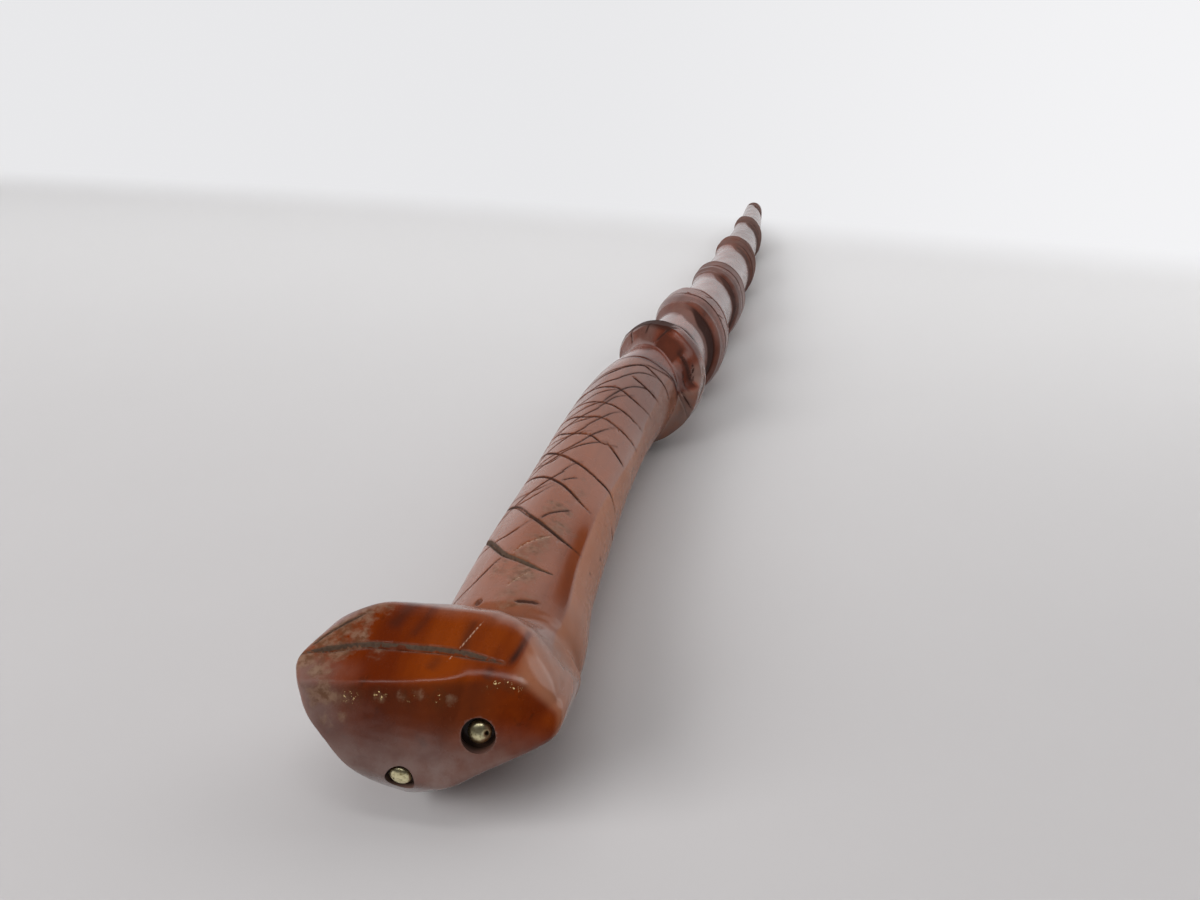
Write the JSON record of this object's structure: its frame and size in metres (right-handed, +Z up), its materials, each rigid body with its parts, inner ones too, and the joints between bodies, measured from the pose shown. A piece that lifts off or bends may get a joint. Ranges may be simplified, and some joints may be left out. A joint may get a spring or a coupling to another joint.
{
  "type": "carved walking stick",
  "caption": "Wooden walking stick with a snake's head as its handle, a scaled neck and a tapered shaft that the body coils round in relief.",
  "frame": {"origin": "middle of the underside of the stick's bounding box, with the stick lying on its side as in the picture", "axes": "+Z up from the ground it lies on, +Y along the stick from the handle to the tip, and the snake's nose points to -X"},
  "size_m": [0.085, 0.8942, 0.0561],
  "materials": {
    "handle_wood": "glossy varnish over orange-brown wood",
    "shaft_wood": "glossy varnish over orange-brown wood",
    "dowel_wood": "bare beech",
    "eye_brass": "worn polished brass",
    "nail_steel": "drawn wire"
  },
  "bodies": {
    "root": {"handle": "handle_wood", "shaft": "shaft_wood", "joint_dowel": "dowel_wood", "upper_eye_cap": "eye_brass", "lower_eye_cap": "eye_brass", "upper_eye_nail": "nail_steel", "lower_eye_nail": "nail_steel"}
  },
  "joints": []
}
